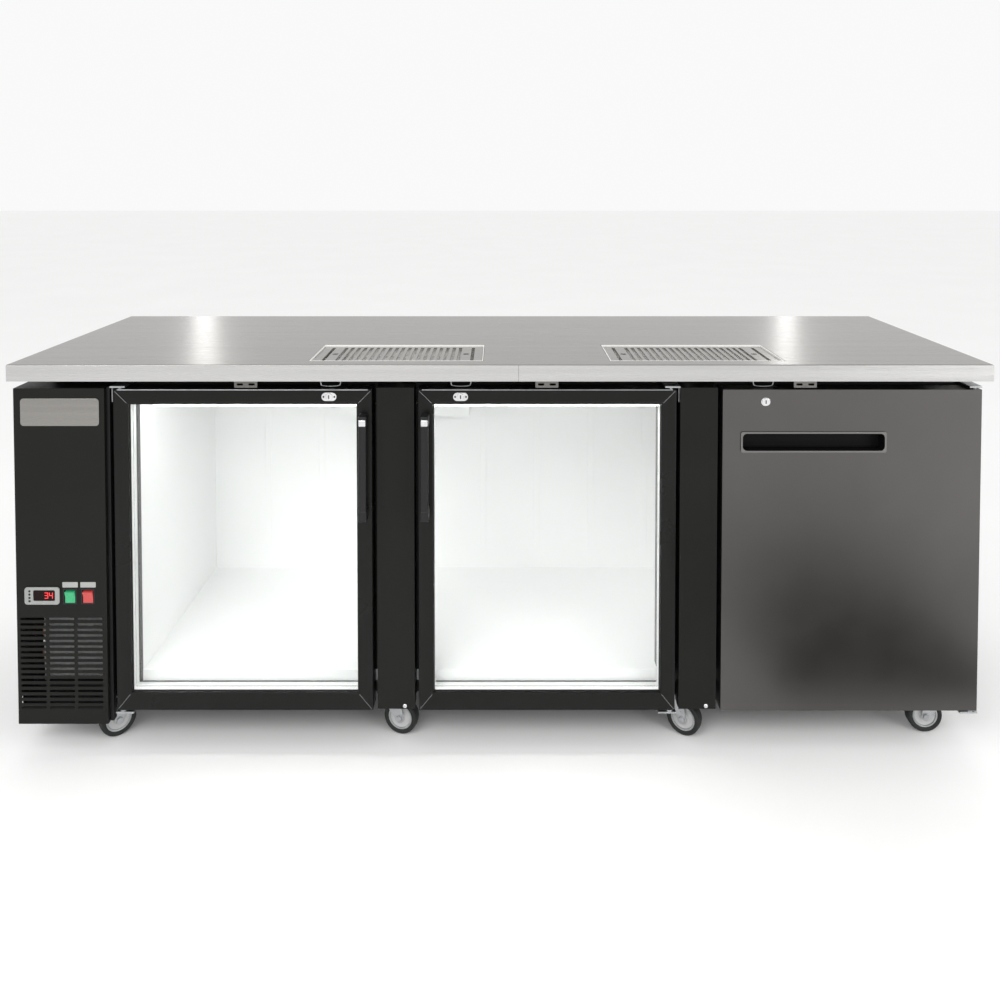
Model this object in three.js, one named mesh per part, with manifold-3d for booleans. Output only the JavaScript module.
// Three-door back-bar kegerator: a chilled keg cabinet with two glass doors, one
// solid door, a compressor bay on the left, a steel worktop with two lift-out
// drip grilles, and eight swivel casters.
// Millimetres. +X is to the right seen from the front, the front faces -Y, +Z is up.
// The origin is on the floor, under the middle of the whole object.
import * as THREE from 'three';
import { mergeVertices } from 'three/addons/utils/BufferGeometryUtils.js';
import Module from 'manifold-3d';

const wasm = await Module();
wasm.setup();

// ---- Driving dimensions ----
const GAP = 0.3; // clearance between pieces that touch
const WIDTH = 2340; // worktop
const DEPTH = 710;
const HEIGHT = 940;
const FASCIA = 40; // folded front edge of the worktop
const CARCASS_HALF = 1162;
const CARCASS_TOP = 880;
const REAR_OVERHANG = 20;
const CEILING_BOTTOM = 830;
const FLOOR_TOP = 165;
const WALL = 50; // foamed wall thickness
const SUPPORT_SETBACK = 170; // worktop support behind the worktop's front edge
const SUPPORT_BAR = 40; // width of a worktop support
const SUPPORT_INSET = 20; // supports short of the walls' ends

const DOOR_WIDTH = 618;
const DOOR_HEIGHT = 780;
const DOOR_DEPTH = 48;
const DOOR_BOTTOM = 97;
const DOOR_PITCH = 728;
const DOOR_CENTRES = [-615, -615 + DOOR_PITCH, -615 + 2 * DOOR_PITCH];
const DOOR_SETBACK = 15; // door face behind the worktop's front edge
const POST_GAP = 10; // between a door's edge and its post
const GASKET_WIDTH = 14;
const GASKET_DEPTH = 10;
const GASKET_INSET = 16;
const GASKET_BOTTOM_INSET = 27;
const STILE = 36; // glass-door frame
const BOTTOM_RAIL = 44;
const GLASS_LAP = 8; // glass held inside the frame, each side
const GLASS_DEPTH = 22;
const GLASS_SETBACK = 10;
const HINGE_INSET = 12; // hinge axis from the door's edge and from its face
const PIN_RADIUS = 5;
const PIN_REACH = 20; // pin length inside the door
const LOCK_INSET = 102; // lock axis from the door's free edge
const LOCK_RADIUS = 6;
const LOCK_TIP = 884; // height the turned cam reaches
const GLASS_LOCK_HEIGHT = 860;
const SOLID_LOCK_HEIGHT = 848;
const LOCK_HEAD_RADIUS = 8.5;
const LOCK_HEAD_PROUD = 3.5;
const CAM_START = 30; // cam behind the door's face
const CAM_THICKNESS = 3;
const CAM_CLEARANCE = 2;
const HINGE_PLATE = 4;
const HINGE_PLATE_WIDTH = 27; // top plate inside the door's edge
const HINGE_ARM_WIDTH = 40; // bottom bracket inside the door's edge
const HINGE_OVERHANG = 3; // brackets beyond the door's edge

const HANDLE_LENGTH = 250;
const HANDLE_WIDTH = 20;
const HANDLE_REACH = 38; // from the door's face
const HANDLE_BOTTOM = 571;
const HANDLE_INSET = 18; // handle axis from the door's free edge
const PULL_WIDTH = 348;
const PULL_HEIGHT = 50;
const PULL_CENTRE_X = -92; // from the middle of the solid door
const PULL_CENTRE_Z = 751;
const PULL_OPENING_WIDTH = 339;
const PULL_OPENING_HEIGHT = 40;
const PULL_DEPTH = 30;

const MULLION_WIDTH = 90;
const MULLION_LANDING = 176; // wider rear part that the gaskets close on
const MULLION_SETBACK = 7; // behind the door faces

const COVER_LEFT = -1162;
const COVER_RIGHT = -945;
const COVER_BOTTOM = 64;
const COVER_TOP = 880;
const COVER_SHEET = 2;
const COVER_RETURN = 15; // folded edges
const BULKHEAD_LEFT = -944;
const BULKHEAD_RIGHT = -884;
const SLOT_COLUMNS = [-1123.5, -1055, -987]; // slot centres
const SLOT_LENGTH = 61;
const SLOT_HEIGHT = 6;
const SLOT_ROWS = 17;
const SLOT_PITCH = 13.6;
const SLOT_LOWEST = 104;

const CASTER_HEIGHT = 108;
const WHEEL_RADIUS = 42.5;
const WHEEL_WIDTH = 28;
const AXLE_RADIUS = 5;
const WHEEL_SEGMENTS = 24;
const TRAIL = 25; // wheel axle from the swivel axis
const CASTER_LINE = 80; // front swivel axes behind the door faces
const REAR_CASTER_LINE = 90; // rear swivel axes from the worktop's rear edge
const RAIL_HEIGHT = 15;
const RAIL_WIDTH = 40;

const TRAY_WIDTH = 420;
const TRAY_LENGTH = 196;
const TRAY_DEPTH = 30;
const TRAY_SHEET = 2;
const TRAY_SETBACK = 46; // behind the worktop's front edge
const GRILLE_SHEET = 3;
const GRILLE_DROP = 4; // grille below the worktop face
const GRILLE_SLOTS = 23;
const GRILLE_SLOT_WIDTH = 8;
const GRILLE_BORDER = 16; // solid sheet beyond the slots' ends
const GRILLE_MARGIN = 20; // between the tray's end and the first slot's pitch
const FINGER_RADIUS = 7.5;
const SPIGOT_RADIUS = 11;
const DRAIN_RADIUS = 9;

// ---- Places worked out from the dimensions ----
const FRONT_OVERHANG = HANDLE_REACH - DOOR_SETBACK; // handles stand in front of the worktop
const TOP_FRONT = (FRONT_OVERHANG - DEPTH) / 2;
const TOP_BACK = TOP_FRONT + DEPTH;
const TOP_UNDERSIDE = HEIGHT - FASCIA;
const DOOR_FRONT = TOP_FRONT + DOOR_SETBACK;
const CARCASS_FRONT = DOOR_FRONT + DOOR_DEPTH + GASKET_DEPTH + 2 * GAP;
const CARCASS_BACK = TOP_BACK - REAR_OVERHANG;
const PAD_TOP = CASTER_HEIGHT + 1;
const RAIL_TOP = CASTER_HEIGHT + RAIL_HEIGHT;
const WALL_BOTTOM = RAIL_TOP + GAP;
const SKIRT_BACK = CARCASS_FRONT + 20;
const END_LEFT = CARCASS_HALF - WALL;
const TRAY_FRONT = TOP_FRONT + TRAY_SETBACK;
const GRILLE_TOP = HEIGHT - GRILLE_DROP;
const MULLION_CENTRES = [0, 1].map((i) => (DOOR_CENTRES[i] + DOOR_CENTRES[i + 1]) / 2);

// ---- Solids: three.js geometry, cut and joined as closed bodies ----
function toSolid(geometry) {
  const bare = geometry.clone();
  bare.deleteAttribute('normal');
  bare.deleteAttribute('uv');
  const merged = mergeVertices(bare, 1e-4);
  const corners = merged.index.array;
  const triangles = [];
  for (let i = 0; i < corners.length; i += 3) {
    const [a, b, c] = [corners[i], corners[i + 1], corners[i + 2]];
    if (a !== b && b !== c && c !== a) {
      triangles.push(a, b, c);
    }
  }
  return new wasm.Manifold(new wasm.Mesh({
    numProp: 3,
    vertProperties: new Float32Array(merged.attributes.position.array),
    triVerts: new Uint32Array(triangles),
  }));
}

function toGeometry(solid) {
  const mesh = solid.getMesh();
  const geometry = new THREE.BufferGeometry();
  geometry.setAttribute('position', new THREE.BufferAttribute(mesh.vertProperties, 3));
  geometry.setIndex(new THREE.BufferAttribute(mesh.triVerts, 1));
  geometry.computeVertexNormals();
  return geometry;
}

const join = (solids) => solids.reduce((whole, solid) => whole.add(solid));
const cut = (body, tools) => tools.reduce((rest, tool) => rest.subtract(tool), body);

function block(x0, x1, y0, y1, z0, z1) {
  const geometry = new THREE.BoxGeometry(x1 - x0, y1 - y0, z1 - z0);
  geometry.translate((x0 + x1) / 2, (y0 + y1) / 2, (z0 + z1) / 2);
  return toSolid(geometry);
}

// A round bar along one axis, from start to end; centre gives the other two coordinates.
function rod(axis, radius, start, end, centre, segments = 20) {
  const geometry = new THREE.CylinderGeometry(radius, radius, end - start, segments);
  const middle = (start + end) / 2;
  if (axis === 'x') {
    geometry.rotateZ(-Math.PI / 2);
    geometry.translate(middle, centre[0], centre[1]);
  } else if (axis === 'y') {
    geometry.translate(centre[0], middle, centre[1]);
  } else {
    geometry.rotateX(Math.PI / 2);
    geometry.translate(centre[0], centre[1], middle);
  }
  return toSolid(geometry);
}

// A body of revolution about Z from [radius, height] points.
function turned(points, segments = 24) {
  const profile = points.map(([radius, height]) => new THREE.Vector2(radius, height));
  const geometry = new THREE.LatheGeometry(profile, segments);
  geometry.rotateX(Math.PI / 2);
  return toSolid(geometry);
}

function roundedOutline(width, height, radius) {
  const shape = new THREE.Shape();
  const x = width / 2 - radius;
  const y = height / 2 - radius;
  shape.absarc(x, y, radius, 0, Math.PI / 2);
  shape.absarc(-x, y, radius, Math.PI / 2, Math.PI);
  shape.absarc(-x, -y, radius, Math.PI, Math.PI * 1.5);
  shape.absarc(x, -y, radius, Math.PI * 1.5, Math.PI * 2);
  shape.closePath();
  return shape;
}

// An outline drawn in X and Z, as seen from the front, extruded back from y0 to y1.
function frontExtrusion(shape, y0, y1, curveSegments = 3) {
  const options = { depth: y1 - y0, bevelEnabled: false, curveSegments };
  const geometry = new THREE.ExtrudeGeometry(shape, options);
  geometry.rotateX(Math.PI / 2);
  geometry.translate(0, y1, 0);
  return toSolid(geometry);
}

// An outline drawn in Y and Z, as seen from the right-hand end, extruded from x0 to x1.
function sideExtrusion(shape, x0, x1, curveSegments = 4) {
  const options = { depth: x1 - x0, bevelEnabled: false, curveSegments };
  const geometry = new THREE.ExtrudeGeometry(shape, options);
  geometry.rotateX(Math.PI / 2);
  geometry.rotateZ(Math.PI / 2);
  geometry.translate(x0, 0, 0);
  return toSolid(geometry);
}

// ---- Materials ----
const finish = (color, roughness, metalness) => ({ color, roughness, metalness });
const BLACK_PAINT = finish(0x1b1b1c, 0.45, 0.3);
const DARK_STEEL = finish(0x2a2b2d, 0.5, 0.4);
const STAINLESS = finish(0xb9bab6, 0.3, 1);
const ZINC = finish(0xa9acad, 0.35, 1);
const CHROME = finish(0xc8c9cb, 0.15, 1);
const ALUMINIUM = finish(0xc4c6c8, 0.35, 1);
const LINER = finish(0xd9dcdc, 0.5, 0);
const BLACK_PLASTIC = finish(0x141415, 0.5, 0);
const GREY_PLASTIC = finish(0xb4b5b0, 0.5, 0);
const RUBBER = finish(0x2b302b, 0.8, 0);
const GLASS = finish(0xdde5e6, 0.05, 0);

const kegerator = new THREE.Group();
kegerator.name = 'kegerator';

function addPiece(parent, name, solid, look) {
  const mesh = new THREE.Mesh(toGeometry(solid), new THREE.MeshStandardMaterial(look));
  mesh.name = name;
  parent.add(mesh);
  return mesh;
}

function addGroup(parent, x, y, z, turn = 0) {
  const group = new THREE.Group();
  group.position.set(x, y, z);
  group.rotation.z = turn;
  parent.add(group);
  return group;
}

// ---- Insulated cabinet ----
function floorPanel() {
  const left = BULKHEAD_RIGHT + GAP;
  const right = END_LEFT - GAP;
  const slab = block(left, right, CARCASS_FRONT, CARCASS_BACK - WALL - GAP, WALL_BOTTOM, FLOOR_TOP);
  const skirtTop = WALL_BOTTOM + 1;
  const skirt = block(left, right, CARCASS_FRONT, SKIRT_BACK, PAD_TOP + GAP, skirtTop);
  return slab.add(skirt);
}

// Ceiling with the raised packing frame that carries the worktop, leaving a shadow gap.
function ceilingPanel() {
  const left = BULKHEAD_RIGHT + GAP;
  const right = END_LEFT - GAP;
  const slab = block(left, right, CARCASS_FRONT, CARCASS_BACK - WALL - GAP, CEILING_BOTTOM, CARCASS_TOP);
  const front = TOP_FRONT + SUPPORT_SETBACK;
  const back = CARCASS_BACK - WALL - SUPPORT_INSET / 2;
  const barLeft = left + SUPPORT_INSET;
  const barRight = right - SUPPORT_INSET;
  const bars = [
    block(barLeft, barRight, front, front + SUPPORT_BAR, CARCASS_TOP - 1, TOP_UNDERSIDE - GAP),
    block(barLeft, barRight, back - SUPPORT_BAR, back, CARCASS_TOP - 1, TOP_UNDERSIDE - GAP),
  ];
  return join([slab, ...bars]);
}

function mullion() {
  const half = MULLION_WIDTH / 2;
  const landing = MULLION_LANDING / 2;
  const nose = block(-half, half, DOOR_FRONT + MULLION_SETBACK, DOOR_FRONT + DOOR_DEPTH, DOOR_BOTTOM, CARCASS_TOP);
  const neck = block(-half, half, DOOR_FRONT + DOOR_DEPTH - 1, CARCASS_FRONT - GAP, PAD_TOP + GAP, CARCASS_TOP);
  // The landing stands between floor and ceiling, and reaches forward to meet the neck.
  const post = block(-landing, landing, CARCASS_FRONT, SKIRT_BACK + 20, FLOOR_TOP + GAP, CEILING_BOTTOM - GAP);
  const link = block(-half, half, CARCASS_FRONT - 1, CARCASS_FRONT + 1, FLOOR_TOP + GAP, CEILING_BOTTOM - GAP);
  return join([nose, neck, post, link]);
}

function bulkheadPanel() {
  const wall = block(BULKHEAD_LEFT, BULKHEAD_RIGHT, CARCASS_FRONT, CARCASS_BACK, WALL_BOTTOM, CARCASS_TOP);
  const edge = DOOR_CENTRES[0] - DOOR_WIDTH / 2 - POST_GAP;
  const post = block(BULKHEAD_LEFT + 1, edge, DOOR_FRONT + 30, CARCASS_FRONT + 1, WALL_BOTTOM, CARCASS_TOP);
  return wall.add(post);
}

function buildCabinet() {
  addPiece(kegerator, 'floor_panel', floorPanel(), LINER);
  addPiece(kegerator, 'ceiling_panel', ceilingPanel(), LINER);
  const rearLeft = BULKHEAD_RIGHT + GAP;
  const rear = block(rearLeft, END_LEFT - GAP, CARCASS_BACK - WALL, CARCASS_BACK, WALL_BOTTOM, CARCASS_TOP);
  addPiece(kegerator, 'rear_panel', rear, LINER);
  addPiece(kegerator, 'bulkhead_panel', bulkheadPanel(), BLACK_PAINT);
  const end = block(END_LEFT, CARCASS_HALF, CARCASS_FRONT, CARCASS_BACK, WALL_BOTTOM, CARCASS_TOP);
  addPiece(kegerator, 'right_end_panel', end, BLACK_PAINT);
  MULLION_CENTRES.forEach((centre, i) => {
    const group = addGroup(kegerator, centre, 0, 0);
    addPiece(group, ['mullion_left', 'mullion_right'][i], mullion(), BLACK_PAINT);
  });
}

// ---- Underframe and casters ----
// A wheel lies at +TRAIL along its own heading from the swivel axis.
const wheelSide = (heading) => Math.cos(THREE.MathUtils.degToRad(heading)) * TRAIL;
const frontCasters = [
  { wheelX: -951, heading: 220 },
  { wheelX: -245, heading: -16 },
  { wheelX: 459, heading: -32 },
  { wheelX: 1060, heading: 178 },
];
const rearCasters = [
  { wheelX: -1020, heading: 35 },
  { wheelX: -245, heading: 160 },
  { wheelX: 459, heading: 15 },
  { wheelX: 1060, heading: 200 },
];
const casters = [
  ...frontCasters.map((caster) => ({ ...caster, y: DOOR_FRONT + CASTER_LINE })),
  ...rearCasters.map((caster) => ({ ...caster, y: TOP_BACK - REAR_CASTER_LINE })),
].map((caster) => ({ ...caster, x: caster.wheelX - wheelSide(caster.heading) }));

const PLATE_BOTTOM = CASTER_HEIGHT - 3.5;
const RACE_BOTTOM = PLATE_BOTTOM - 3.5;
const RACE_RADIUS = 18;
const PAD_FRONT = 21; // pad edges from the swivel axis
const PAD_BACK = 46;
const PAD_HALF = 32;
const FRAME_INSET = 4; // underframe inside the cabinet's outline
const BAY_CROSSMEMBER_X = -900;
const BASE_SHEET = 3;

function underframe() {
  const left = -CARCASS_HALF + FRAME_INSET;
  const right = CARCASS_HALF - FRAME_INSET;
  const front = SKIRT_BACK + GAP;
  const back = CARCASS_BACK - FRAME_INSET;
  const parts = [
    block(left, right, front, front + RAIL_WIDTH, CASTER_HEIGHT, RAIL_TOP),
    block(left, right, back - RAIL_WIDTH, back, CASTER_HEIGHT, RAIL_TOP),
  ];
  const half = RAIL_WIDTH / 2;
  for (const x of [left + half, BAY_CROSSMEMBER_X, ...MULLION_CENTRES, right - half]) {
    parts.push(block(x - half, x + half, front + 1, back - 1, CASTER_HEIGHT, RAIL_TOP));
  }
  // Base sheet of the compressor bay.
  parts.push(block(left, BULKHEAD_LEFT, front, back, RAIL_TOP - BASE_SHEET, RAIL_TOP));
  for (const { x, y } of casters) {
    parts.push(block(x - PAD_HALF, x + PAD_HALF, y - PAD_FRONT, y + PAD_BACK, PLATE_BOTTOM, PAD_TOP));
    parts.push(rod('z', RACE_RADIUS, RACE_BOTTOM, PLATE_BOTTOM + 1, [x, y], 16));
  }
  return join(parts);
}

// Swivel fork about a vertical axis, its wheel trailing towards +X.
const CROWN_BOTTOM = 90;
const CROWN_RADIUS = 22;
const LEG_HALF = 12; // half width of a fork leg, and the radius of its lower end
const LEG_THICKNESS = 2.5;
const NUT_RADIUS = 8;
function casterFork() {
  const crownTop = RACE_BOTTOM - GAP;
  const legInner = WHEEL_WIDTH / 2 + 1.5;
  const legTop = CROWN_BOTTOM + 2;
  const outline = new THREE.Shape();
  outline.moveTo(-LEG_HALF, legTop);
  outline.lineTo(-LEG_HALF, CROWN_BOTTOM - 14);
  outline.lineTo(TRAIL - LEG_HALF, WHEEL_RADIUS);
  outline.absarc(TRAIL, WHEEL_RADIUS, LEG_HALF, Math.PI, Math.PI * 2);
  outline.lineTo(TRAIL + LEG_HALF / 2, CROWN_BOTTOM - 20);
  outline.lineTo(LEG_HALF, CROWN_BOTTOM - 4);
  outline.lineTo(LEG_HALF, legTop);
  outline.closePath();
  const legs = [
    frontExtrusion(outline, -legInner - LEG_THICKNESS, -legInner),
    frontExtrusion(outline, legInner, legInner + LEG_THICKNESS),
  ];
  const crown = rod('z', CROWN_RADIUS, CROWN_BOTTOM, crownTop, [0, 0], 18);
  const end = legInner + LEG_THICKNESS + 4;
  const axle = rod('y', AXLE_RADIUS, -end, end, [TRAIL, WHEEL_RADIUS], 10);
  const nuts = [
    rod('y', NUT_RADIUS, -end, -legInner - 1, [TRAIL, WHEEL_RADIUS], 6),
    rod('y', NUT_RADIUS, legInner + 1, end, [TRAIL, WHEEL_RADIUS], 6),
  ];
  return join([...legs, crown, axle, ...nuts]);
}

function casterWheel() {
  const half = WHEEL_WIDTH / 2;
  const shoulder = 6;
  const bore = AXLE_RADIUS + GAP;
  // The tread stands on a flat, so its corners lie a little outside the rolling radius.
  const tread = WHEEL_RADIUS / Math.cos(Math.PI / WHEEL_SEGMENTS);
  const profile = [
    [bore, -half],
    [tread - shoulder, -half],
    [tread, -half + shoulder],
    [tread, half - shoulder],
    [tread - shoulder, half],
    [bore, half],
    [bore, -half],
  ];
  return turned(profile, WHEEL_SEGMENTS).rotate([0, 0, 180 / WHEEL_SEGMENTS]);
}

function buildCasters() {
  addPiece(kegerator, 'underframe', underframe(), DARK_STEEL);
  casters.forEach(({ x, y, heading }, i) => {
    const swivel = addGroup(kegerator, x, y, 0, THREE.MathUtils.degToRad(heading));
    addPiece(swivel, `caster_${i + 1}_fork`, casterFork(), ZINC);
    const wheel = addPiece(swivel, `caster_${i + 1}_wheel`, casterWheel(), RUBBER);
    wheel.position.set(TRAIL, 0, WHEEL_RADIUS);
    wheel.rotation.x = Math.PI / 2;
  });
}

// ---- Worktop, drip trays and lift-out grilles ----
function worktop() {
  const half = WIDTH / 2;
  const slab = block(-half, half, TOP_FRONT, TOP_BACK, TOP_UNDERSIDE, HEIGHT);
  const wells = MULLION_CENTRES.map((x) => block(
    x - TRAY_WIDTH / 2 - GAP,
    x + TRAY_WIDTH / 2 + GAP,
    TRAY_FRONT - GAP,
    TRAY_FRONT + TRAY_LENGTH + GAP,
    TOP_UNDERSIDE - 1,
    HEIGHT + 1,
  ));
  return cut(slab, wells);
}

// Tray drawn about its own centre line, with a drain spigot and a ledge under the grille.
function dripTray() {
  const half = TRAY_WIDTH / 2;
  const bottom = HEIGHT - TRAY_DEPTH;
  const wall = TRAY_SHEET;
  const ledge = 6;
  const y0 = TRAY_FRONT;
  const y1 = TRAY_FRONT + TRAY_LENGTH;
  const drain = [0, (y0 + y1) / 2];
  const pan = block(-half, half, y0, y1, bottom, HEIGHT);
  const upper = block(-half + wall, half - wall, y0 + wall, y1 - wall, GRILLE_TOP - GRILLE_SHEET - GAP, HEIGHT + 1);
  const lower = block(-half + ledge, half - ledge, y0 + ledge, y1 - ledge, bottom + wall, HEIGHT);
  const spigot = rod('z', SPIGOT_RADIUS, bottom - 18, bottom + 1, drain, 16);
  const drainHole = rod('z', DRAIN_RADIUS, bottom - 20, bottom + 10, drain, 16);
  return cut(pan.add(spigot), [upper, lower, drainHole]);
}

// Slotted grille with two finger holes.
function dripGrille() {
  const inset = TRAY_SHEET + 1;
  const half = TRAY_WIDTH / 2 - inset;
  const y0 = TRAY_FRONT + inset;
  const y1 = TRAY_FRONT + TRAY_LENGTH - inset;
  const sheet = block(-half, half, y0, y1, GRILLE_TOP - GRILLE_SHEET, GRILLE_TOP);
  const pitch = (TRAY_WIDTH - 2 * GRILLE_MARGIN) / GRILLE_SLOTS;
  const slotHalf = GRILLE_SLOT_WIDTH / 2;
  const through = GRILLE_TOP - 2 * GRILLE_SHEET;
  const slots = [];
  for (let i = 0; i < GRILLE_SLOTS; i += 1) {
    const x = -TRAY_WIDTH / 2 + GRILLE_MARGIN + pitch * (i + 0.5);
    const holed = i === 1 || i === GRILLE_SLOTS - 2;
    if (!holed) {
      slots.push(block(x - slotHalf, x + slotHalf, y0 + GRILLE_BORDER, y1 - GRILLE_BORDER, through, HEIGHT));
    }
  }
  const middle = (y0 + y1) / 2;
  const fingerX = TRAY_WIDTH / 2 - GRILLE_MARGIN - pitch * 1.5;
  const holes = [-fingerX, fingerX].map((x) => rod('z', FINGER_RADIUS, through, HEIGHT, [x, middle], 16));
  return cut(sheet, [...slots, ...holes]);
}

function buildWorktop() {
  addPiece(kegerator, 'worktop', worktop(), STAINLESS);
  MULLION_CENTRES.forEach((centre, i) => {
    const side = ['left', 'right'][i];
    const group = addGroup(kegerator, centre, 0, 0);
    addPiece(group, `drip_tray_${side}`, dripTray(), STAINLESS);
    addPiece(group, `drip_grille_${side}`, dripGrille(), STAINLESS);
  });
}
// ---- Compressor bay ----
const CONTROLLER = { x: -1099, z: 379, width: 84, height: 42 };
const SWITCH_Z = 377;
const SWITCH_XS = { power_switch: -1032.5, light_switch: -989.5 };
const SWITCH_WIDTH = 24;
const SWITCH_HEIGHT = 28;
const SWITCH_TILT = 10; // degrees each side of the middle
const SWITCH_PIVOT = 9; // behind the cover's face

function frontCover() {
  const y0 = DOOR_FRONT + 1;
  const y1 = DOOR_FRONT + COVER_RETURN;
  const sheet = block(COVER_LEFT, COVER_RIGHT, DOOR_FRONT, DOOR_FRONT + COVER_SHEET, COVER_BOTTOM, COVER_TOP);
  const returns = [
    block(COVER_LEFT, COVER_LEFT + COVER_SHEET, y0, y1, COVER_BOTTOM, COVER_TOP),
    block(COVER_RIGHT - COVER_SHEET, COVER_RIGHT, y0, y1, COVER_BOTTOM, COVER_TOP),
    block(COVER_LEFT, COVER_RIGHT, y0, y1, COVER_TOP - COVER_SHEET, COVER_TOP),
    block(COVER_LEFT, COVER_RIGHT, y0, y1, COVER_BOTTOM, COVER_BOTTOM + COVER_SHEET),
  ];
  const holeAt = (x, z, width, height) => block(
    x - width / 2,
    x + width / 2,
    DOOR_FRONT - 1,
    DOOR_FRONT + COVER_SHEET + 1,
    z - height / 2,
    z + height / 2,
  );
  const holes = [holeAt(CONTROLLER.x, CONTROLLER.z, CONTROLLER.width - 8, CONTROLLER.height - 8)];
  for (const x of SLOT_COLUMNS) {
    for (let row = 0; row < SLOT_ROWS; row += 1) {
      holes.push(holeAt(x, SLOT_LOWEST + row * SLOT_PITCH, SLOT_LENGTH, SLOT_HEIGHT));
    }
  }
  for (const x of Object.values(SWITCH_XS)) {
    holes.push(holeAt(x, SWITCH_Z, SWITCH_WIDTH + 2, SWITCH_HEIGHT + 4));
  }
  return cut(join([sheet, ...returns]), holes);
}

// One folded sheet: left side, top and rear of the compressor bay, with vent slots in the
// side and rear, and the gland where the supply lead enters at the rear.
const COVER_PLATE = 3;
const GLAND = { x: -1100, z: 160, radius: 12, bore: 7, proud: 8 };
const VENT_ROWS = 9;
const VENT_LOWEST = 200;
const VENT_PITCH = 24;
const VENT_HEIGHT = 8;
const SIDE_VENT_CENTRES = [-190, 0, 190];
const SIDE_VENT_HALF = 70;
const REAR_VENT = { left: -1130, right: -976 };
function sideCover() {
  const front = DOOR_FRONT + COVER_RETURN + GAP;
  const inner = BULKHEAD_LEFT - GAP;
  const bottom = WALL_BOTTOM;
  const rear = CARCASS_BACK;
  const outside = block(-CARCASS_HALF, inner, front, rear, bottom, CARCASS_TOP);
  const inside = block(-CARCASS_HALF + COVER_PLATE, inner + 1, front - 1, rear - COVER_PLATE, bottom - 1,
    CARCASS_TOP - COVER_PLATE);
  const gland = rod('y', GLAND.radius, rear - 1, rear + GLAND.proud, [GLAND.x, GLAND.z], 12);
  const rest = block(-CARCASS_HALF + SUPPORT_INSET, inner - SUPPORT_INSET, TOP_FRONT + SUPPORT_SETBACK,
    rear - SUPPORT_BAR, CARCASS_TOP - 1, TOP_UNDERSIDE - GAP);
  const leadBore = rod('y', GLAND.bore, rear - COVER_PLATE - 2, rear + GLAND.proud + 2, [GLAND.x, GLAND.z], 12);
  const slots = [leadBore];
  for (let row = 0; row < VENT_ROWS; row += 1) {
    const z0 = VENT_LOWEST + row * VENT_PITCH;
    const z1 = z0 + VENT_HEIGHT;
    for (const y of SIDE_VENT_CENTRES) {
      const y0 = y - SIDE_VENT_HALF;
      const y1 = y + SIDE_VENT_HALF;
      slots.push(block(-CARCASS_HALF - 1, -CARCASS_HALF + COVER_PLATE + 1, y0, y1, z0, z1));
    }
    slots.push(block(REAR_VENT.left, REAR_VENT.right, rear - COVER_PLATE - 1, rear + 1, z0, z1));
  }
  return cut(join([outside.subtract(inside), gland, rest]), slots);
}

// Sealed compressor can on its foot plate, with the two pipe stubs and terminal box.
function compressor() {
  const can = turned([
    [0, RAIL_TOP + 10],
    [70, RAIL_TOP + 10],
    [86, RAIL_TOP + 32],
    [88, RAIL_TOP + 96],
    [94, RAIL_TOP + 98],
    [94, RAIL_TOP + 106],
    [87, RAIL_TOP + 110],
    [80, RAIL_TOP + 158],
    [55, RAIL_TOP + 182],
    [0, RAIL_TOP + 190],
  ], 18);
  const foot = block(-96, 96, -80, 80, RAIL_TOP + GAP, RAIL_TOP + 14);
  const terminals = block(60, 102, -34, 34, RAIL_TOP + 40, RAIL_TOP + 110);
  const stubs = [
    rod('z', 5, RAIL_TOP + 150, RAIL_TOP + 230, [-45, -30], 10),
    rod('z', 7, RAIL_TOP + 150, RAIL_TOP + 215, [-35, 40], 10),
  ];
  return join([can, foot, terminals, ...stubs]);
}

// Finned condenser: a comb of upright fins on a back plate, between top and bottom headers.
const CONDENSER = { left: -1152, right: -956, bottom: 127, top: 335, front: SKIRT_BACK + 2, depth: 30 };
const CONDENSER_FINS = 20;
function condenser() {
  const { left, right, bottom, top, front, depth } = CONDENSER;
  const back = front + depth;
  const header = 7;
  const finHalf = 1;
  const pitch = (right - left - 2 * finHalf) / CONDENSER_FINS;
  const parts = [
    block(left, right, back - 8, back, bottom, top),
    block(left, right, front + 4, back - 1, bottom, bottom + header),
    block(left, right, front + 4, back - 1, top - header, top),
  ];
  for (let i = 0; i <= CONDENSER_FINS; i += 1) {
    const x = left + finHalf + i * pitch;
    parts.push(block(x - finHalf, x + finHalf, front, back - 7, bottom + 1, top - 1));
  }
  return join(parts);
}

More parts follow.
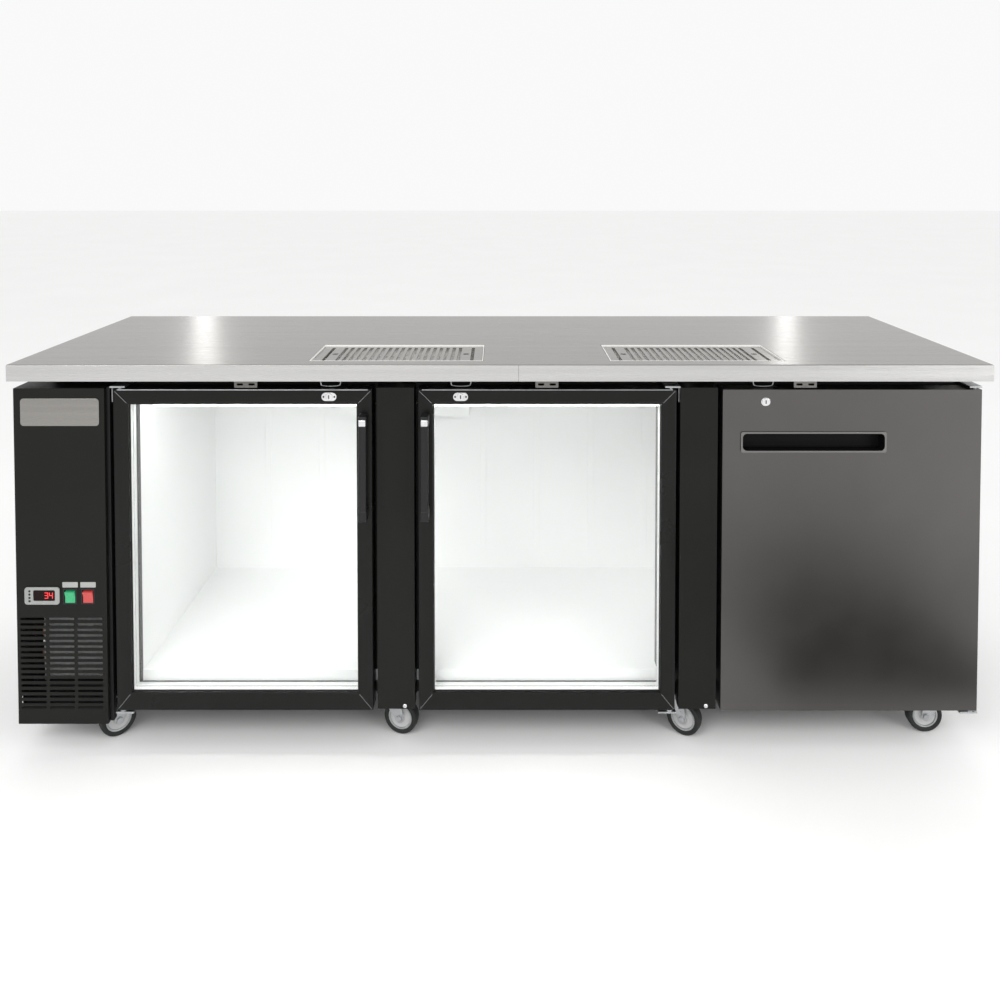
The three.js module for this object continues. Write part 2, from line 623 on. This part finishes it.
// Fan plate behind the condenser: a ring, four struts and the motor they carry.
const FAN_RADIUS = 78;
const FAN_CENTRE = { x: -1054, z: 231 };
function fanShroud() {
  const { left, right, bottom, top, front, depth } = CONDENSER;
  const y0 = front + depth + 1;
  const y1 = y0 + 16;
  const motorFront = y1 + 22;
  const motorBack = motorFront + 40;
  const centre = [FAN_CENTRE.x, FAN_CENTRE.z];
  const plate = block(left, right, y0, y0 + 3, bottom, top);
  const ring = rod('y', FAN_RADIUS + 8, y0 + 1, y1, centre, 32);
  const hole = rod('y', FAN_RADIUS + 5, y0 - 1, y1 + 1, centre, 32);
  const motor = rod('y', 26, motorFront, motorBack, centre, 20);
  const shaft = rod('y', 4, y0 + 6, motorFront + 1, centre, 12);
  const struts = [];
  for (const side of [-1, 1]) {
    const x = FAN_CENTRE.x + side * (FAN_RADIUS + 12);
    struts.push(block(x - 4, x + 4, y0 + 1, motorFront + 12, FAN_CENTRE.z - 8, FAN_CENTRE.z + 8));
    const inner = FAN_CENTRE.x + side * 20;
    const barLeft = Math.min(x + 4 * side, inner);
    const barRight = Math.max(x + 4 * side, inner);
    struts.push(block(barLeft, barRight, motorFront + 6, motorFront + 12, FAN_CENTRE.z - 8, FAN_CENTRE.z + 8));
  }
  return join([plate.add(ring).subtract(hole), motor, shaft, ...struts]);
}

// Axial fan about Y, centred on its hub, with pitched blades and a bore for the shaft.
function axialFan(radius, hubRadius, boreRadius, blades, depth) {
  const half = depth / 2;
  const hub = rod('y', hubRadius, -half, half, [0, 0], 20);
  const wings = [];
  for (let i = 0; i < blades; i += 1) {
    const length = radius - hubRadius + 6;
    const blade = new THREE.BoxGeometry(radius * 0.62, 2, length);
    blade.rotateZ(THREE.MathUtils.degToRad(24));
    blade.translate(0, 0, hubRadius - 6 + length / 2);
    blade.rotateY((i / blades) * Math.PI * 2);
    wings.push(toSolid(blade));
  }
  const swept = rod('y', radius, -half, half, [0, 0], 32);
  const bore = rod('y', boreRadius, -half - 1, half + 1, [0, 0], 12);
  return join([hub, ...wings.map((wing) => wing.intersect(swept))]).subtract(bore);
}

function temperatureController() {
  const { x, z, width, height } = CONTROLLER;
  const bezel = frontExtrusion(roundedOutline(width, height, 4), DOOR_FRONT - 4, DOOR_FRONT - GAP);
  const body = block(-width / 2 + 5, width / 2 - 5, DOOR_FRONT - 1, DOOR_FRONT + 56, -height / 2 + 5, height / 2 - 5);
  return bezel.add(body).translate([x, 0, z]);
}

// Rocker about its pivot line, with a shallow V front.
function rocker() {
  const half = SWITCH_HEIGHT / 2;
  const peak = SWITCH_PIVOT + 1;
  const dip = half * Math.tan(THREE.MathUtils.degToRad(SWITCH_TILT));
  const outline = new THREE.Shape();
  outline.moveTo(-peak - dip, half);
  outline.lineTo(-peak, 0);
  outline.lineTo(-peak - dip, -half);
  outline.lineTo(-1, -half);
  outline.lineTo(3, -5);
  outline.lineTo(3, 5);
  outline.lineTo(-1, half);
  outline.closePath();
  return sideExtrusion(outline, -SWITCH_WIDTH / 2, SWITCH_WIDTH / 2);
}

function buildCompressorBay() {
  addPiece(kegerator, 'front_cover', frontCover(), BLACK_PAINT);
  addPiece(kegerator, 'side_cover', sideCover(), BLACK_PAINT);
  const base = addGroup(kegerator, -1053, 120, 0, Math.PI / 2);
  addPiece(base, 'compressor', compressor(), BLACK_PAINT);
  addPiece(kegerator, 'condenser', condenser(), ALUMINIUM);
  addPiece(kegerator, 'fan_shroud', fanShroud(), DARK_STEEL);
  const fanMiddle = CONDENSER.front + CONDENSER.depth + 1 + 16;
  const fan = addPiece(kegerator, 'condenser_fan', axialFan(FAN_RADIUS, 18, 4 + GAP, 5, 30), ALUMINIUM);
  fan.position.set(FAN_CENTRE.x, fanMiddle, FAN_CENTRE.z);
  addPiece(kegerator, 'temperature_controller', temperatureController(), GREY_PLASTIC);
  const looks = { power_switch: finish(0x2f8a4e, 0.35, 0), light_switch: finish(0xb02a2a, 0.35, 0) };
  for (const [name, x] of Object.entries(SWITCH_XS)) {
    const rockerMesh = addPiece(kegerator, name, rocker(), looks[name]);
    rockerMesh.position.set(x, DOOR_FRONT + SWITCH_PIVOT, SWITCH_Z);
    rockerMesh.rotation.x = THREE.MathUtils.degToRad(SWITCH_TILT);
  }
}

// ---- Evaporator in the keg bay, high on the rear wall ----
const EVAPORATOR = { left: -470, right: -90, bottom: 676, depth: 130, fanRadius: 58 };
function evaporatorHousing() {
  const { left, right, bottom, depth, fanRadius } = EVAPORATOR;
  const back = CARCASS_BACK - WALL - GAP;
  const front = back - depth;
  const top = CEILING_BOTTOM - GAP;
  const wall = 2;
  const centre = [(left + right) / 2, (bottom + top) / 2];
  const shell = block(left, right, front, back, bottom, top);
  const hollow = block(left + wall, right - wall, front + wall, back - 16, bottom + wall, top - wall);
  const outlet = rod('y', fanRadius + 4, front - 1, front + wall + 1, centre, 28);
  const inlets = [-110, -40, 40, 110].map((x) => (
    block(centre[0] + x - 25, centre[0] + x + 25, front + 30, back - 30, bottom - 1, bottom + wall + 1)
  ));
  const motor = rod('y', 22, front + 60, back - 15, centre, 16);
  const shaft = rod('y', 3, front + 20, front + 61, centre, 12);
  return join([cut(shell, [hollow, outlet, ...inlets]), motor, shaft]);
}

function buildEvaporator() {
  const { left, right, bottom, depth, fanRadius } = EVAPORATOR;
  addPiece(kegerator, 'evaporator_housing', evaporatorHousing(), ALUMINIUM);
  const fan = addPiece(kegerator, 'evaporator_fan', axialFan(fanRadius, 15, 3 + GAP, 5, 24), BLACK_PLASTIC);
  const front = CARCASS_BACK - WALL - GAP - depth;
  fan.position.set((left + right) / 2, front + 38, (bottom + CEILING_BOTTOM - GAP) / 2);
}

// ---- Doors, each drawn about its middle, with its face at y = 0 and its bottom at z = 0 ----
// side is -1 for hinges on the left and +1 for hinges on the right.
const hingeX = (side) => side * (DOOR_WIDTH / 2 - HINGE_INSET);
const lockX = (side) => -side * (DOOR_WIDTH / 2 - LOCK_INSET);

// Bores for both hinge pins.
function pinBores(side) {
  const centre = [hingeX(side), HINGE_INSET];
  const radius = PIN_RADIUS + 2 * GAP;
  return [
    rod('z', radius, -1, PIN_REACH + 1, centre, 16),
    rod('z', radius, DOOR_HEIGHT - PIN_REACH - 1, DOOR_HEIGHT + 1, centre, 16),
  ];
}

// Bore for the lock barrel, and the pocket at the door's top edge that its cam turns in.
function lockCuts(side, height) {
  const x = lockX(side);
  const z = height - DOOR_BOTTOM;
  const reach = LOCK_TIP - height + CAM_CLEARANCE;
  const behind = LOCK_RADIUS + CAM_THICKNESS;
  const near = Math.min(x - side * behind, x + side * reach);
  const far = Math.max(x - side * behind, x + side * reach);
  const front = CAM_START - CAM_CLEARANCE;
  const back = CAM_START + 2 * CAM_THICKNESS;
  return [
    rod('y', LOCK_RADIUS + 2 * GAP, -1, CAM_START, [x, z], 16),
    block(near, far, front, back, z - LOCK_RADIUS - CAM_CLEARANCE, DOOR_HEIGHT + 1),
  ];
}

function glassDoorFrame(side) {
  const half = DOOR_WIDTH / 2;
  const slab = block(-half, half, 0, DOOR_DEPTH, 0, DOOR_HEIGHT);
  const opening = block(-half + STILE, half - STILE, -1, DOOR_DEPTH + 1, BOTTOM_RAIL, DOOR_HEIGHT - STILE);
  const groove = block(
    -half + STILE - GLASS_LAP,
    half - STILE + GLASS_LAP,
    GLASS_SETBACK,
    GLASS_SETBACK + GLASS_DEPTH,
    BOTTOM_RAIL - GLASS_LAP,
    DOOR_HEIGHT - STILE + GLASS_LAP,
  );
  return cut(slab, [opening, groove, ...pinBores(side), ...lockCuts(side, GLASS_LOCK_HEIGHT)]);
}

function glassUnit() {
  const half = DOOR_WIDTH / 2 - STILE + GLASS_LAP - GAP;
  const bottom = BOTTOM_RAIL - GLASS_LAP + GAP;
  const top = DOOR_HEIGHT - STILE + GLASS_LAP - GAP;
  return block(-half, half, GLASS_SETBACK + GAP, GLASS_SETBACK + GLASS_DEPTH - GAP, bottom, top);
}

function gasket() {
  const half = DOOR_WIDTH / 2 - GASKET_INSET;
  const y0 = DOOR_DEPTH + GAP;
  const y1 = y0 + GASKET_DEPTH;
  const bottom = GASKET_BOTTOM_INSET;
  const top = DOOR_HEIGHT - GASKET_INSET;
  const outer = block(-half, half, y0, y1, bottom, top);
  const inner = block(
    -half + GASKET_WIDTH,
    half - GASKET_WIDTH,
    y0 - 1,
    y1 + 1,
    bottom + GASKET_WIDTH,
    top - GASKET_WIDTH,
  );
  return outer.subtract(inner);
}

// Bar handle: a straight grip on two end fittings.
function barHandle(side) {
  const x = -side * (DOOR_WIDTH / 2 - HANDLE_INSET);
  const bottom = HANDLE_BOTTOM - DOOR_BOTTOM;
  const top = bottom + HANDLE_LENGTH;
  const thickness = 13;
  const fitting = 26;
  const corner = 10;
  const outline = new THREE.Shape();
  outline.moveTo(-GAP, bottom);
  outline.lineTo(-HANDLE_REACH + corner, bottom);
  outline.absarc(-HANDLE_REACH + corner, bottom + corner, corner, -Math.PI / 2, -Math.PI, true);
  outline.lineTo(-HANDLE_REACH, top - corner);
  outline.absarc(-HANDLE_REACH + corner, top - corner, corner, Math.PI, Math.PI / 2, true);
  outline.lineTo(-GAP, top);
  outline.lineTo(-GAP, top - fitting);
  outline.lineTo(-HANDLE_REACH + thickness, top - fitting);
  outline.lineTo(-HANDLE_REACH + thickness, bottom + fitting);
  outline.lineTo(-GAP, bottom + fitting);
  outline.closePath();
  return sideExtrusion(outline, x - HANDLE_WIDTH / 2, x + HANDLE_WIDTH / 2);
}

// Lock barrel with its cam lying flat, drawn about the barrel's axis.
function lock(side, height) {
  const reach = LOCK_TIP - height;
  const end = CAM_START + CAM_THICKNESS;
  const barrel = rod('y', LOCK_RADIUS, 0, end, [0, 0], 12);
  const head = rod('y', LOCK_HEAD_RADIUS, -LOCK_HEAD_PROUD, -0.5, [0, 0], 16);
  const neck = rod('y', LOCK_RADIUS, -1, 1, [0, 0], 12);
  const [camLeft, camRight] = side > 0 ? [0, reach] : [-reach, 0];
  const cam = block(camLeft, camRight, CAM_START, end, -LOCK_RADIUS, LOCK_RADIUS);
  const keyway = block(-1, 1, -4, -2, -4, 4);
  return join([barrel, head, neck, cam]).subtract(keyway);
}

// Top bracket on the cabinet: plate over the ceiling, leg down the post, pin into the door.
function topHinge(side, hasLeg) {
  const pin = hingeX(side);
  const edge = (side * DOOR_WIDTH) / 2;
  const plateBottom = CARCASS_TOP - DOOR_BOTTOM + GAP;
  const plateTop = plateBottom + HINGE_PLATE;
  const outer = edge + side * (hasLeg ? POST_GAP - GAP : HINGE_OVERHANG);
  const inner = edge - side * HINGE_PLATE_WIDTH;
  const parts = [
    block(Math.min(outer, inner), Math.max(outer, inner), HINGE_PLATE, 105, plateBottom, plateTop),
    rod('z', PIN_RADIUS, DOOR_HEIGHT - PIN_REACH, plateBottom + 1, [pin, HINGE_INSET], 16),
  ];
  if (hasLeg) {
    const legInner = outer - side * 2.5;
    const legBottom = DOOR_HEIGHT - 34;
    parts.push(block(Math.min(outer, legInner), Math.max(outer, legInner), 16, 46, legBottom, plateBottom + 1));
  }
  return join(parts);
}

// Bottom bracket: plate under the door, leg up in front of the cabinet, pin into the door.
function bottomHinge(side) {
  const pin = hingeX(side);
  const edge = (side * DOOR_WIDTH) / 2;
  const outer = edge + side * HINGE_OVERHANG;
  const inner = edge - side * HINGE_ARM_WIDTH;
  const x0 = Math.min(outer, inner);
  const x1 = Math.max(outer, inner);
  const back = DOOR_DEPTH + GASKET_DEPTH - 0.5;
  const armTop = -4.5;
  const armBottom = armTop - HINGE_PLATE;
  const parts = [
    block(x0, x1, 2, back, armBottom, armTop),
    block(x0, x1, back - 3.5, back, armBottom, GASKET_BOTTOM_INSET - 2),
    rod('z', PIN_RADIUS, armTop - 0.5, PIN_REACH, [pin, HINGE_INSET], 16),
    rod('z', PIN_RADIUS + 4, armTop - 0.5, -1, [pin, HINGE_INSET], 16),
  ];
  return join(parts);
}

function solidDoorPanel(side) {
  const half = DOOR_WIDTH / 2;
  const slab = block(-half, half, 0, DOOR_DEPTH, 0, DOOR_HEIGHT);
  const z = PULL_CENTRE_Z - DOOR_BOTTOM;
  const halfWidth = PULL_OPENING_WIDTH / 2 + 3;
  const halfHeight = PULL_OPENING_HEIGHT / 2 + 3;
  const pocket = block(
    PULL_CENTRE_X - halfWidth,
    PULL_CENTRE_X + halfWidth,
    -1,
    PULL_DEPTH + 3,
    z - halfHeight,
    z + halfHeight,
  );
  return cut(slab, [pocket, ...pinBores(side), ...lockCuts(side, SOLID_LOCK_HEIGHT)]);
}

// Recessed pull: a flange on the door's face and a cup behind it.
function pullCup() {
  const flange = frontExtrusion(roundedOutline(PULL_WIDTH, PULL_HEIGHT, 5), -2.5, -GAP);
  const halfWidth = PULL_OPENING_WIDTH / 2 + 2.5;
  const halfHeight = PULL_OPENING_HEIGHT / 2 + 2.5;
  const cup = block(-halfWidth, halfWidth, -1, PULL_DEPTH + 2, -halfHeight, halfHeight);
  const hollow = frontExtrusion(roundedOutline(PULL_OPENING_WIDTH, PULL_OPENING_HEIGHT, 11), -3, PULL_DEPTH, 5);
  const z = PULL_CENTRE_Z - DOOR_BOTTOM;
  return flange.add(cup).subtract(hollow).translate([PULL_CENTRE_X, 0, z]);
}

function buildDoor(index, side, isGlass) {
  const name = `door_${index + 1}`;
  const group = addGroup(kegerator, DOOR_CENTRES[index], DOOR_FRONT, DOOR_BOTTOM);
  const lockHeight = isGlass ? GLASS_LOCK_HEIGHT : SOLID_LOCK_HEIGHT;
  if (isGlass) {
    addPiece(group, `${name}_frame`, glassDoorFrame(side), BLACK_PAINT);
    addPiece(group, `${name}_glass`, glassUnit(), GLASS);
    addPiece(group, `${name}_handle`, barHandle(side), BLACK_PLASTIC);
  } else {
    addPiece(group, `${name}_panel`, solidDoorPanel(side), BLACK_PAINT);
    addPiece(group, `${name}_pull_cup`, pullCup(), BLACK_PLASTIC);
  }
  addPiece(group, `${name}_gasket`, gasket(), BLACK_PLASTIC);
  const lockMesh = addPiece(group, `${name}_lock`, lock(side, lockHeight), CHROME);
  lockMesh.position.set(lockX(side), 0, lockHeight - DOOR_BOTTOM);
  addPiece(group, `${name}_hinge_top`, topHinge(side, isGlass), ZINC);
  addPiece(group, `${name}_hinge_bottom`, bottomHinge(side), ZINC);
}

buildCabinet();
buildCasters();
buildWorktop();
buildCompressorBay();
buildEvaporator();
buildDoor(0, -1, true);
buildDoor(1, 1, true);
buildDoor(2, 1, false);

export default kegerator;
